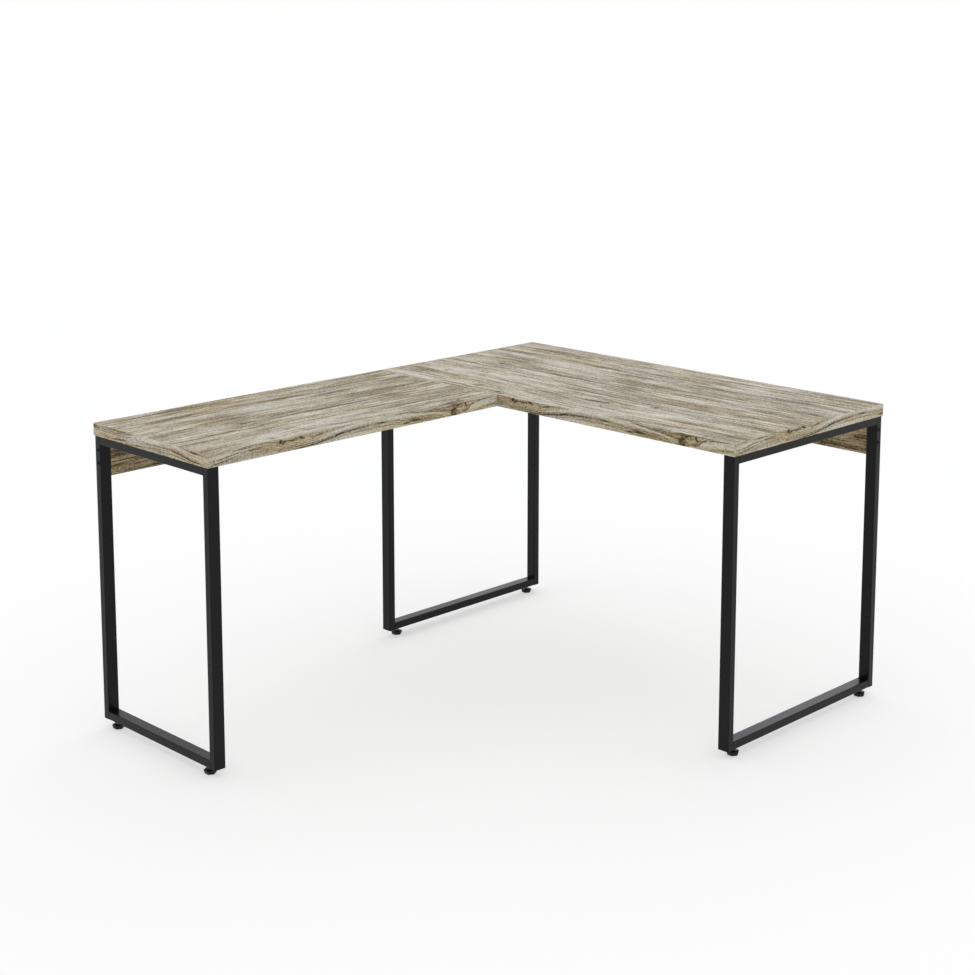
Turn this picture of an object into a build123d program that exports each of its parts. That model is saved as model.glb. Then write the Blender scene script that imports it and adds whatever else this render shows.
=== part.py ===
from build123d import *
import os

# Corner desk: a long main top and a shorter return top that butts against the left end of its
# front edge, carried by three closed frames of rectangular steel tube with levelling feet.
# Millimetres. X runs along the main top, Y from the return's free end to the back, Z up from the
# floor. The origin is on the floor, under the middle of the whole desk.

# Tops
main_length = 1200.0
main_depth = 600.0
return_length = 900.0
return_width = 450.0
top_thickness = 30.0
edge_band = 1.0
edge_radius = 0.6

# Leg frames
frame_height = 700.0
tube_narrow = 20.0
tube_wide = 30.0
tube_wall = 1.5
tube_corner = 2.0
frame_inset = 2.0
plug_depth = 12.0
plug_clearance = 0.1

# Aprons, the rails at the back of each top
apron_height = 100.0
apron_thickness = 15.0
apron_band = 1.0

# Levelling feet
foot_height = 20.0
foot_end_distance = 38.0
foot_travel = 6.0
foot_stop_gap = 1.0
head_flats_low = 23.5
head_flats_high = 28.0
head_edge = 0.8
head_lift = 0.5
boss_radius = 6.5
boss_height = 2.0
glide_radius = 9.0
glide_thickness = 1.5
glide_edge = 0.3
glide_gap = 0.3
pin_radius = 3.0
pin_length = 3.0
pin_end_gap = 0.5
stud_floor = 1.0
stud_radius = 5.0
stud_chamfer = 0.8
stud_end_gap = 1.5
running_clearance = 0.05
insert_body_radius = 6.5
insert_flange_radius = 7.5
insert_flange = 1.0
insert_bulge_radius = 8.0
insert_bulge = 2.5
insert_length = 12.0

# Bolts and barrel nuts that hold the aprons between the posts
bolt_radius = 3.0
bolt_head_radius = 5.0
bolt_head = 1.6
bolt_spacing = 32.0
bolt_hold = 40.0
bolt_hole_clearance = 0.2
bolt_end_gap = 2.0
hex_key = 4.0
hex_key_depth = 3.0
barrel_radius = 5.0
barrel_wall = 1.5
barrel_end_distance = 30.0

# Screws from below into the tops
frame_screw_radius = 2.25
frame_screw_bite = 16.0
frame_screw_head_radius = 4.5
frame_screw_head = 3.0
frame_screw_count = 3
frame_screw_end_distance = 60.0
small_screw_radius = 1.75
small_screw_head_radius = 3.5
small_screw_head = 2.0
small_screw_bite = 11.0
screw_clearance = 0.05
screw_end_gap = 1.0
rail_hole_clearance = 0.3
drive_length = 4.0
drive_width = 1.0
drive_depth = 1.2

# Flat plates that join the two tops, and angle brackets that tie the aprons to them
plate_thickness = 3.0
plate_length = 120.0
plate_width = 40.0
plate_corner = 6.0
plate_end_distance = 110.0
plate_count = 2
plate_hole_distances = (22.0, 46.0)
bracket_leg = 30.0
bracket_width = 20.0
bracket_thickness = 2.0
bracket_corner = 1.5
bracket_hole_distance = 20.0
main_bracket_count = 3
return_bracket_count = 2
bracket_end_distance = 150.0

# Levels, sides and small sizes that follow from the sizes above
UP = (0, 0, 1)
frame_low = foot_height
frame_high = frame_low + frame_height
top_low = frame_high
top_high = top_low + top_thickness
left = -main_length / 2
right = main_length / 2
back = (main_depth + return_length) / 2
seam = back - main_depth
end = -back
return_front = left + return_width
boss_high = foot_height - insert_flange - foot_travel - foot_stop_gap
head_high = boss_high - boss_height
recess_high = glide_thickness + running_clearance
pin_high = glide_thickness + pin_length
stud_low = pin_high + pin_end_gap + stud_floor
stud_high = frame_low + tube_narrow - tube_wall - foot_travel - stud_end_gap
apron_low = top_low - apron_height
barrel_length = apron_thickness - 2 * barrel_wall
bolt_levels = [top_low - apron_height / 2 + side * bolt_spacing / 2 for side in (-1, 1)]
band_radius = min(edge_radius, 0.7 * edge_band)
tube_inner_corner = max(tube_corner - tube_wall, 0.3)
bracket_apron_seat = ((0, bracket_thickness, -bracket_hole_distance), (0, -1, 0))
bracket_top_seat = ((0, bracket_hole_distance, -bracket_thickness), UP)
bracket_seats = (bracket_apron_seat, bracket_top_seat)


def block(x, y, z):
    """A box, from its low and high side along each axis."""
    middle = [(low + high) / 2 for low, high in (x, y, z)]
    return Pos(*middle) * Box(*[high - low for low, high in (x, y, z)])


def spindle(start, direction, profile):
    """A turned piece: its profile is (radius, distance) corners along a line from start."""
    outline = make_face(Polyline(*[(radius, 0, distance) for radius, distance in profile], close=True))
    return Plane(origin=start, z_dir=direction) * revolve(outline, Axis.Z)


def rod(start, direction, length, radius):
    """A cylinder that begins at start and runs along direction."""
    return spindle(start, direction, [(0, 0), (radius, 0), (radius, length), (0, length)])


def hexagon(across_flats):
    """A flat hexagon."""
    return RegularPolygon(across_flats / 2, 6, major_radius=False)


def spread(low, high, count, margin):
    """Places spaced evenly between low and high, the outer two a margin inside them."""
    if count == 1:
        return [(low + high) / 2]
    step = (high - low - 2 * margin) / (count - 1)
    return [low + margin + step * index for index in range(count)]


def save(name, *shapes):
    """Writes one node. More than one solid in it is a group of like pieces."""
    solids = [solid for shape in shapes for solid in shape.solids()]
    whole = solids[0] if len(solids) == 1 else Compound(solids)
    export_step(whole, f"parts/{name}.step")


def tube(x, y, z):
    """A rectangular tube between the given sides. It runs along the longest of them."""
    sides = (x, y, z)
    lengths = [high - low for low, high in sides]
    run = lengths.index(max(lengths))
    inner = [(low + tube_wall, high - tube_wall) for low, high in sides]
    inner[run] = sides[run]
    axis = (Axis.X, Axis.Y, Axis.Z)[run]
    outside = block(*sides)
    inside = block(*inner)
    outside = fillet(outside.edges().filter_by(axis), tube_corner)
    return outside - fillet(inside.edges().filter_by(axis), tube_inner_corner)


# Screws and bolts


def screw(seat, direction, radius, reach, head_radius, head_height):
    """A pan-head screw whose head bears on seat, with a cross recess."""
    head = [(0, -head_height), (0.6 * head_radius, -head_height), (head_radius, -0.4 * head_height)]
    shank = [(head_radius, 0), (radius, 0), (radius, reach - 2 * radius), (0, reach)]
    recess = Box(drive_length, drive_width, drive_depth) + Box(drive_width, drive_length, drive_depth)
    recess = Plane(origin=seat, z_dir=direction) * Pos(0, 0, drive_depth / 2 - head_height) * recess
    return spindle(seat, direction, head + shank) - recess


def small_screw(seat, direction, thickness):
    """A small screw through a plate of the given thickness."""
    reach = thickness + small_screw_bite
    return screw(seat, direction, small_screw_radius, reach, small_screw_head_radius, small_screw_head)


def small_pilot(seat, direction, thickness):
    """The hole a small screw fills in the board behind its plate."""
    depth = thickness + small_screw_bite + screw_end_gap
    return rod(seat, direction, depth, small_screw_radius + screw_clearance)


def frame_screw(seat):
    """A long screw up through a top rail into a top."""
    reach = tube_narrow + frame_screw_bite
    return screw(seat, UP, frame_screw_radius, reach, frame_screw_head_radius, frame_screw_head)


def frame_pilot(seat):
    """The hole a long screw fills in a top."""
    depth = tube_narrow + frame_screw_bite + screw_end_gap
    return rod(seat, UP, depth, frame_screw_radius + screw_clearance)


def apron_bolt(seat, direction, post_depth):
    """A flat-head bolt through a post of the given depth into an apron's end."""
    reach = post_depth + bolt_hold
    edge = bolt_head / 3
    head = [(0, -bolt_head), (bolt_head_radius - edge, -bolt_head), (bolt_head_radius, edge - bolt_head)]
    shank = [(bolt_head_radius, 0), (bolt_radius, 0), (bolt_radius, reach), (0, reach)]
    socket = Pos(0, 0, -bolt_head) * extrude(hexagon(hex_key), hex_key_depth)
    return spindle(seat, direction, head + shank) - Plane(origin=seat, z_dir=direction) * socket


def place_along(start, direction, distance):
    """The point at a distance from start along direction."""
    return tuple(place + distance * step for place, step in zip(start, direction))


# Tops


def board(x, y):
    """The core of a top, inside its edge bands."""
    inside = [(low + edge_band, high - edge_band) for low, high in (x, y)]
    return block(*inside, (top_low, top_high)) - top_pilots


def band(x, y, outward):
    """One edge band of a top. Its two long outer edges are rounded."""
    strip = block(x, y, (top_low, top_high))
    outer = strip.faces().sort_by(Axis((0, 0, 0), outward))[-1]
    return fillet(outer.edges().filter_by(Axis.Z, reverse=True), band_radius)


def edge_bands(x, y):
    """The bands along the (low X, high X, low Y, high Y) edges. The first two run the whole edge."""
    between = (x[0] + edge_band, x[1] - edge_band)
    return (
        band((x[0], x[0] + edge_band), y, (-1, 0, 0)),
        band((x[1] - edge_band, x[1]), y, (1, 0, 0)),
        band(between, (y[0], y[0] + edge_band), (0, -1, 0)),
        band(between, (y[1] - edge_band, y[1]), (0, 1, 0)),
    )


# Leg frames


class LegFrame:
    """A closed upright frame. It runs along X or Y, with a post at each end and a rail between them
    at the top and at the bottom. names are those of its low post and its high post."""

    def __init__(self, name, runs_along, run, across, names):
        self.name, self.runs_along, self.run, self.across = name, runs_along, run, across
        self.names = names
        self.rail_run = (run[0] + tube_narrow, run[1] - tube_narrow)
        self.post_runs = [(run[0], self.rail_run[0]), (self.rail_run[1], run[1])]
        self.middle = sum(across) / 2

    def sides(self, run, across, level):
        """The (x, y, z) of a place or of a piece's sides."""
        return (run, across, level) if self.runs_along == "X" else (across, run, level)

    def screw_seats(self):
        """Where the heads of the screws into the top bear, under the top rail."""
        runs = spread(*self.rail_run, frame_screw_count, frame_screw_end_distance)
        return [self.sides(run, self.middle, frame_high - tube_narrow) for run in runs]

    def foot_places(self):
        """The (x, y) of its two feet, low end first."""
        runs = (self.run[0] + foot_end_distance, self.run[1] - foot_end_distance)
        return [self.sides(run, self.middle, 0)[:2] for run in runs]

    def build(self):
        """Writes the two posts and the two rails, and returns the plugs in the posts' ends."""
        plugs = []
        for name, post_run in zip(self.names, self.post_runs):
            post = tube(*self.sides(post_run, self.across, (frame_low, frame_high)))
            save(f"{self.name}_{name}_post", post - bolt_holes)
            plugs += self.post_plugs(post_run)
        top_rail = tube(*self.sides(self.rail_run, self.across, (frame_high - tube_narrow, frame_high)))
        screw_hole = frame_screw_radius + rail_hole_clearance
        holes = [rod(seat, UP, tube_narrow, screw_hole) for seat in self.screw_seats()]
        save(f"{self.name}_top_rail", top_rail - holes)
        bottom_rail = tube(*self.sides(self.rail_run, self.across, (frame_low, frame_low + tube_narrow)))
        hole_radius = insert_body_radius + plug_clearance
        holes = [rod((*place, frame_low), UP, tube_wall, hole_radius) for place in self.foot_places()]
        save(f"{self.name}_bottom_rail", bottom_rail - holes)
        return plugs

    def post_plugs(self, post_run):
        """The plastic plugs flush in the two ends of one post."""
        margin = tube_wall + plug_clearance
        run, across = [(low + margin, high - margin) for low, high in (post_run, self.across)]
        levels = ((frame_low, frame_low + plug_depth), (frame_high - plug_depth, frame_high))
        plugs = [block(*self.sides(run, across, level)) for level in levels]
        return [fillet(plug.edges().filter_by(Axis.Z), tube_inner_corner) for plug in plugs]


# Levelling feet


def insert(x, y):
    """The threaded insert that is set in the lower wall of a bottom rail."""
    inner_wall = insert_flange + tube_wall
    bore = stud_radius + running_clearance
    profile = [
        (bore, 0),
        (insert_flange_radius, 0),
        (insert_flange_radius, insert_flange),
        (insert_body_radius, insert_flange),
        (insert_body_radius, inner_wall),
        (insert_bulge_radius, inner_wall),
        (insert_body_radius, inner_wall + insert_bulge),
        (insert_body_radius, insert_length + insert_flange),
        (bore, insert_length + insert_flange),
    ]
    return spindle((x, y, frame_low - insert_flange), UP, profile)


def foot_glide(x, y):
    """The disc that stands on the floor, with the pin on which the head turns."""
    profile = [
        (0, 0),
        (glide_radius - glide_edge, 0),
        (glide_radius, glide_edge),
        (glide_radius, glide_thickness),
        (pin_radius, glide_thickness),
        (pin_radius, pin_high),
        (0, pin_high),
    ]
    return spindle((x, y, 0), UP, profile)


def foot_head(x, y):
    """The hexagonal head, wider at the top, with a boss above it. It is moulded round the stud."""
    levels = (
        (head_lift, head_flats_low),
        (head_high - head_edge, head_flats_high),
        (head_high, head_flats_high - 2 * head_edge),
    )
    outlines = [Pos(x, y, level) * hexagon(flats) for level, flats in levels]
    body = loft(Sketch() + outlines, ruled=True)
    boss = rod((x, y, head_high), UP, boss_height, boss_radius)
    recess = rod((x, y, 0), UP, recess_high, glide_radius + glide_gap)
    pin_hole = rod((x, y, 0), UP, pin_high + pin_end_gap, pin_radius + running_clearance)
    stud_hole = rod((x, y, stud_low), UP, boss_high - stud_low, stud_radius + screw_clearance)
    return body + boss - [recess, pin_hole, stud_hole]


def foot_stud(x, y):
    """The threaded stud, from its seat in the head into the rail."""
    profile = [
        (0, stud_low),
        (stud_radius, stud_low),
        (stud_radius, stud_high - stud_chamfer),
        (stud_radius - stud_chamfer, stud_high),
        (0, stud_high),
    ]
    return spindle((x, y, 0), UP, profile)


# Aprons


class Apron:
    """A rail under the back of a top, bolted between two posts. It runs along X or Y from the low
    end to the high end. middle is its place across, and inward the side its brackets are on."""

    def __init__(self, runs_along, run, middle, inward, post_depths, bracket_count):
        self.runs_along, self.run, self.middle = runs_along, run, middle
        self.inward, self.post_depths, self.bracket_count = inward, post_depths, bracket_count

    def turn(self, run, across, level):
        """The (x, y, z) of a place, a direction or a piece's sides."""
        return (run, across, level) if self.runs_along == "X" else (across, run, level)

    def bolt_places(self):
        """For each bolt: the middle of its head's underside, its direction and its post's depth."""
        low_seat, high_seat = self.run[0] - self.post_depths[0], self.run[1] + self.post_depths[1]
        ends = ((low_seat, 1, self.post_depths[0]), (high_seat, -1, self.post_depths[1]))
        return [
            (self.turn(seat, self.middle, level), self.turn(way, 0, 0), depth)
            for seat, way, depth in ends
            for level in bolt_levels
        ]

    def barrel(self, seat, direction, depth, radius, length):
        """A cylinder across the apron where a barrel nut lies, open to the apron's outer face."""
        place = place_along(seat, direction, depth + barrel_end_distance)
        outward = self.turn(0, -self.inward, 0)
        return rod(place_along(place, outward, -barrel_length / 2), outward, length, radius)

    def barrel_nuts(self):
        """The barrel nuts, each with its cross hole for the bolt."""
        nuts = []
        for seat, direction, depth in self.bolt_places():
            nut = self.barrel(seat, direction, depth, barrel_radius, barrel_length)
            hole = rod(seat, direction, depth + bolt_hold, bolt_radius + screw_clearance)
            nuts.append(nut - hole)
        return nuts

    def bracket_planes(self):
        """At each bracket: X along the apron, Y inward from its face, Z up, level with its top."""
        face = self.middle + self.inward * apron_thickness / 2
        inward = Vector(*self.turn(0, self.inward, 0))
        x_dir = inward.cross(Vector(*UP))
        runs = spread(*self.run, self.bracket_count, bracket_end_distance)
        return [Plane(origin=self.turn(run, face, top_low), x_dir=x_dir, z_dir=UP) for run in runs]

    def build(self, name):
        """Writes the apron and the band on its lower edge."""
        across = (self.middle - apron_thickness / 2, self.middle + apron_thickness / 2)
        whole = block(*self.turn(self.run, across, (apron_low + apron_band, top_low)))
        pilot = small_pilot(*bracket_apron_seat, bracket_thickness)
        cuts = [plane * pilot for plane in self.bracket_planes()]
        barrel_hole = barrel_radius + screw_clearance
        for seat, direction, depth in self.bolt_places():
            reach = depth + bolt_hold + bolt_end_gap
            cuts.append(rod(seat, direction, reach, bolt_radius + bolt_hole_clearance))
            cuts.append(self.barrel(seat, direction, depth, barrel_hole, apron_thickness))
        save(name, whole - cuts)
        band_level = (apron_low, apron_low + apron_band)
        save(f"{name}_edge_band", block(*self.turn(self.run, across, band_level)))


def bracket():
    """An angle bracket: one leg on the apron's face, the other under the top."""
    width = (-bracket_width / 2, bracket_width / 2)
    upright = block(width, (0, bracket_thickness), (-bracket_leg, 0))
    upright = fillet(upright.edges().filter_by(Axis.Y).group_by(Axis.Z)[0], bracket_corner)
    flat = block(width, (0, bracket_leg), (-bracket_thickness, 0))
    flat = fillet(flat.edges().filter_by(Axis.Z).group_by(Axis.Y)[-1], bracket_corner)
    hole = small_screw_radius + bolt_hole_clearance
    return upright + flat - [rod(*seat, bracket_thickness, hole) for seat in bracket_seats]


# Joining plates


def joining_plate(x):
    """A flat plate under the seam of the two tops."""
    low = top_low - plate_thickness
    plate = block(
        (x - plate_width / 2, x + plate_width / 2),
        (seam - plate_length / 2, seam + plate_length / 2),
        (low, top_low),
    )
    plate = fillet(plate.edges().filter_by(Axis.Z), plate_corner)
    hole = small_screw_radius + bolt_hole_clearance
    return plate - [rod(seat, UP, plate_thickness, hole) for seat in plate_seats(x)]


def plate_seats(x):
    """Where the heads of one plate's screws bear."""
    distances = [side * distance for side in (-1, 1) for distance in plate_hole_distances]
    return [(x, seam + distance, top_low - plate_thickness) for distance in distances]


# The whole desk

left_frame = LegFrame(
    "left_frame",
    "X",
    (left + frame_inset, return_front - frame_inset),
    (end + frame_inset, end + frame_inset + tube_wide),
    ("back", "front"),
)
middle_frame = LegFrame(
    "middle_frame",
    "Y",
    (seam + frame_inset, back - frame_inset),
    (left + frame_inset, left + frame_inset + tube_wide),
    ("front", "back"),
)
right_frame = LegFrame(
    "right_frame",
    "Y",
    (seam + frame_inset, back - frame_inset),
    (right - frame_inset - tube_wide, right - frame_inset),
    ("front", "back"),
)
leg_frames = (left_frame, middle_frame, right_frame)

main_apron = Apron(
    "X",
    (middle_frame.across[1], right_frame.across[0]),
    back - frame_inset - tube_narrow / 2,
    -1,
    (tube_wide, tube_wide),
    main_bracket_count,
)
return_apron = Apron(
    "Y",
    (left_frame.across[1], middle_frame.run[0]),
    left + frame_inset + tube_narrow / 2,
    1,
    (tube_wide, tube_narrow),
    return_bracket_count,
)
aprons = (main_apron, return_apron)

bolt_places = [place for apron in aprons for place in apron.bolt_places()]
bolt_holes = [rod(*place, bolt_radius + bolt_hole_clearance) for place in bolt_places]
frame_seats = [seat for frame in leg_frames for seat in frame.screw_seats()]
plate_places = spread(left, return_front, plate_count, plate_end_distance)
plate_screw_seats = [seat for x in plate_places for seat in plate_seats(x)]
bracket_planes = [plane for apron in aprons for plane in apron.bracket_planes()]
top_pilots = [frame_pilot(seat) for seat in frame_seats]
top_pilots += [small_pilot(seat, UP, plate_thickness) for seat in plate_screw_seats]
top_pilots += [plane * small_pilot(*bracket_top_seat, bracket_thickness) for plane in bracket_planes]


def build_tops():
    """Writes the board and the four edge bands of each top."""
    main_sides = ((left, right), (seam, back))
    return_sides = ((left, return_front), (end, seam))
    save("main_top_board", board(*main_sides))
    save("return_top_board", board(*return_sides))
    for name, piece in zip(("left", "right", "front", "back"), edge_bands(*main_sides)):
        save(f"main_top_{name}_band", piece)
    for name, piece in zip(("back", "front", "end", "seam"), edge_bands(*return_sides)):
        save(f"return_top_{name}_band", piece)


def build_frames():
    """Writes the three leg frames, the plugs in their posts and their inserts."""
    save("post_end_plugs", *[plug for frame in leg_frames for plug in frame.build()])
    save("levelling_inserts", *[insert(x, y) for frame in leg_frames for x, y in frame.foot_places()])


def build_feet():
    """Writes the glide, the head and the stud of each levelling foot."""
    for frame in leg_frames:
        for name, (x, y) in zip(frame.names, frame.foot_places()):
            foot = f"{frame.name.removesuffix('_frame')}_{name}_foot"
            save(f"{foot}_glide", foot_glide(x, y))
            save(f"{foot}_head", foot_head(x, y))
            save(f"{foot}_stud", foot_stud(x, y))


def build_aprons():
    """Writes the aprons, their bolts and barrel nuts, and their brackets and screws."""
    main_apron.build("main_apron")
    return_apron.build("return_apron")
    save("apron_bolts", *[apron_bolt(*place) for place in bolt_places])
    save("apron_barrel_nuts", *[nut for apron in aprons for nut in apron.barrel_nuts()])
    save("apron_brackets", *[plane * bracket() for plane in bracket_planes])
    screws = [small_screw(*seat, bracket_thickness) for seat in bracket_seats]
    save("bracket_screws", *[plane * piece for plane in bracket_planes for piece in screws])


def build_joints():
    """Writes the plates under the seam and the screws into the tops."""
    save("joining_plates", *[joining_plate(x) for x in plate_places])
    save("joining_plate_screws", *[small_screw(seat, UP, plate_thickness) for seat in plate_screw_seats])
    save("top_fixing_screws", *[frame_screw(seat) for seat in frame_seats])


os.makedirs("parts", exist_ok=True)
build_tops()
build_frames()
build_feet()
build_aprons()
build_joints()
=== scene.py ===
"""Looks of a corner desk: wood-grain tops and aprons, powder-coated frames, levelling feet, and a
plain studio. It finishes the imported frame's own nodes and adds the threads and mouldings that the
frame leaves plain. Sizes are metres unless a name says otherwise."""

import math

import bmesh
import bpy
from bpy.props import FloatProperty, FloatVectorProperty, IntProperty, PointerProperty
from mathutils import Euler, Matrix, Vector


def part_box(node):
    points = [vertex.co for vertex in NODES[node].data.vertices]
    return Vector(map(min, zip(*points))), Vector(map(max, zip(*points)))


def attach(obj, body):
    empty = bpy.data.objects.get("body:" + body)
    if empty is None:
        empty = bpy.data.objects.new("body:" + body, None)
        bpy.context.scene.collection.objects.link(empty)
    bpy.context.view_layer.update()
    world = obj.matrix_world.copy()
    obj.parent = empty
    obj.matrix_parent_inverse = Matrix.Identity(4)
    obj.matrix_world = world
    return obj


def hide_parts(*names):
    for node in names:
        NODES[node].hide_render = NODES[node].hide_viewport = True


bl_info = {
    "name": "Corner desk finishes",
    "version": (1, 0, 0),
    "blender": (4, 5, 0),
    "location": "3D View > Sidebar > Corner Desk",
    "description": "Finishes, threads and studio for a corner desk with steel leg frames",
    "category": "Object",
}

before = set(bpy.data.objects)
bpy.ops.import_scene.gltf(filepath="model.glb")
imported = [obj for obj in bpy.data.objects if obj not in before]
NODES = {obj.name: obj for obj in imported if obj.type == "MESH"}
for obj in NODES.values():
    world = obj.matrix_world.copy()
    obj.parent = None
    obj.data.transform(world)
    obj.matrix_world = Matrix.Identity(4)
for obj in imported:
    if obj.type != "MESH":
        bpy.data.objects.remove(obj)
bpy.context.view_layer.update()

# Node names by finish
LONG_X_BANDS = ("main_top_front_band", "main_top_back_band")
LONG_Y_BANDS = ("return_top_front_band", "return_top_back_band")
MAIN_END_BANDS = ("main_top_left_band", "main_top_right_band")
RETURN_END_BANDS = ("return_top_end_band", "return_top_seam_band")
FRAME_NODES = [name for name in NODES if name.endswith(("_post", "_rail"))]
FEET = [name.removesuffix("_stud") for name in NODES if name.endswith("_foot_stud")]

# Millimetres in a metre
MM = 1000.0
# Edges that turn by more than this are drawn sharp
SHARP_EDGE = math.radians(35)

MAIN_LOW, MAIN_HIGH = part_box("main_top_left_band")[0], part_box("main_top_right_band")[1]
RETURN_LOW, RETURN_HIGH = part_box("return_top_back_band")[0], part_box("return_top_front_band")[1]


class Signal:
    """One output in a node tree. Arithmetic on it adds Math nodes, or Vector Math for a vector."""

    def __init__(self, output):
        self.output = output

    def node(self, kind, inputs, output=0, **settings):
        """Adds any other node to the same tree: its settings first, then its sockets."""
        return new_node(self.output.id_data, kind, inputs, output, **settings)

    def maths(self, operation, *values):
        """Adds one Math or Vector Math node."""
        signals = [value for value in values if isinstance(value, Signal)]
        vector = any(signal.output.type == "VECTOR" for signal in signals)
        kind = "ShaderNodeVectorMath" if vector else "ShaderNodeMath"
        return self.node(kind, dict(enumerate(values)), operation=operation)

    def __add__(self, other):
        return self.maths("ADD", self, other)

    def __radd__(self, other):
        return self.maths("ADD", other, self)

    def __sub__(self, other):
        return self.maths("SUBTRACT", self, other)

    def __rsub__(self, other):
        return self.maths("SUBTRACT", other, self)

    def __mul__(self, other):
        return self.maths("MULTIPLY", self, other)

    def __rmul__(self, other):
        return self.maths("MULTIPLY", other, self)

    def __truediv__(self, other):
        return self.maths("DIVIDE", self, other)

    def __rtruediv__(self, other):
        return self.maths("DIVIDE", other, self)

    def __pow__(self, other):
        return self.maths("POWER", self, other)

    def __rpow__(self, other):
        return self.maths("POWER", other, self)


def new_node(tree, kind, inputs, output=0, **settings):
    """Adds a node to a tree and returns one of its outputs as a Signal. stops are a colour ramp's
    places and colours."""
    node = tree.nodes.new(kind)
    stops = settings.pop("stops", None)
    for name, value in settings.items():
        setattr(node, name, value)
    if stops:
        ramp = node.color_ramp
        while len(ramp.elements) < len(stops):
            ramp.elements.new(1.0)
        for element, (place, colour) in zip(ramp.elements, stops):
            element.position = place
            element.color = colour
    for socket, value in inputs.items():
        if isinstance(value, Signal):
            tree.links.new(value.output, node.inputs[socket])
        else:
            node.inputs[socket].default_value = value
    return Signal(node.outputs[output])


def new_material(name, finish):
    """A material whose tree is filled by finish(place), which returns a shader Signal."""
    material = bpy.data.materials.new(name)
    material.use_nodes = True
    tree = material.node_tree
    tree.nodes.clear()
    place = new_node(tree, "ShaderNodeTexCoord", {}, "Object")
    shader = finish(place)
    out = tree.nodes.new("ShaderNodeOutputMaterial")
    tree.links.new(shader.output, out.inputs["Surface"])
    return material


def axes(place):
    """The three parts of a vector, in millimetres."""
    scaled = place.maths("MULTIPLY", place, (MM, MM, MM))
    split = scaled.node("ShaderNodeSeparateXYZ", {0: scaled})
    outputs = split.output.node.outputs
    return [Signal(outputs[index]) for index in range(3)]


def noise(x, y, seed, detail=2.0, roughness=0.6):
    """Noise over two numbers, about 0 in the middle and mostly within half a unit of it."""
    point = flat(x + seed, y + 0.37 * seed)
    inputs = {"Vector": point, "Scale": 1.0, "Detail": detail, "Roughness": roughness}
    return x.node("ShaderNodeTexNoise", inputs, noise_dimensions="2D") - 0.5


def space_noise(place, size, detail=2.0, roughness=0.55):
    """Noise in space with lumps of about the given size, about 0 in the middle."""
    inputs = {"Vector": place, "Scale": 1.0 / size, "Detail": detail, "Roughness": roughness}
    return place.node("ShaderNodeTexNoise", inputs) - 0.5


def between(value, low, high, start=0.0, stop=1.0):
    """Maps low..high to start..stop smoothly, and holds the ends."""
    inputs = {"Value": value, "From Min": low, "From Max": high, "To Min": start, "To Max": stop}
    return value.node("ShaderNodeMapRange", inputs, interpolation_type="SMOOTHSTEP")


# A Mix node's sockets for colours: its factor, its two colours and its result
MIX_FACTOR, MIX_FIRST, MIX_SECOND, MIX_RESULT = 0, 6, 7, 2


def blend(factor, first, second, how="MIX"):
    """A colour between two others, or the first with a share of the second laid on it."""
    inputs = {MIX_FACTOR: factor, MIX_FIRST: first, MIX_SECOND: second}
    return factor.node("ShaderNodeMix", inputs, MIX_RESULT, data_type="RGBA", blend_type=how)


def flat(x, y):
    """A vector of two numbers."""
    return x.node("ShaderNodeCombineXYZ", {0: x, 1: y})


# How far an oval fades out, for each unit of its half size
OVAL_REACH = 1.85


def oval(point, along, across, half_length, half_width, height, slope=0.0, reach=1.0):
    """A soft oval of the given height in a sheet's plane, reach times its size."""
    spread = OVAL_REACH * reach
    inputs = {
        "Vector": point,
        "Location": (along, across, 0.0),
        "Rotation": (0.0, 0.0, math.atan(slope)),
        "Scale": (spread * half_length, spread * half_width, 1.0),
    }
    moved = point.node("ShaderNodeMapping", inputs, vector_type="TEXTURE")
    near = point.node("ShaderNodeTexGradient", {0: moved}, "Fac", gradient_type="SPHERICAL")
    return between(near, 0.0, 1.0, 0.0, height)


def linear(red, green, blue):
    """An opaque colour given in the everyday 0..255 scale, as the shaders need it."""
    shares = [part / 255 for part in (red, green, blue)]
    return (*[s / 12.92 if s <= 0.04045 else ((s + 0.055) / 1.055) ** 2.4 for s in shares], 1.0)


def grey(tone):
    """An opaque grey, as the shaders need it."""
    return (tone, tone, tone, 1.0)


def surface(place, colour, roughness, bump, depth, **constants):
    """A Principled surface. bump is a height signal and depth the metres that 1 of it stands for."""
    inputs = {"Base Color": colour, "Roughness": roughness}
    inputs.update({name.replace("_", " "): value for name, value in constants.items()})
    inputs["Normal"] = place.node("ShaderNodeBump", {"Height": bump, "Distance": depth})
    return place.node("ShaderNodeBsdfPrincipled", inputs)


# Decor of the tops, the edges and the aprons

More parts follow.
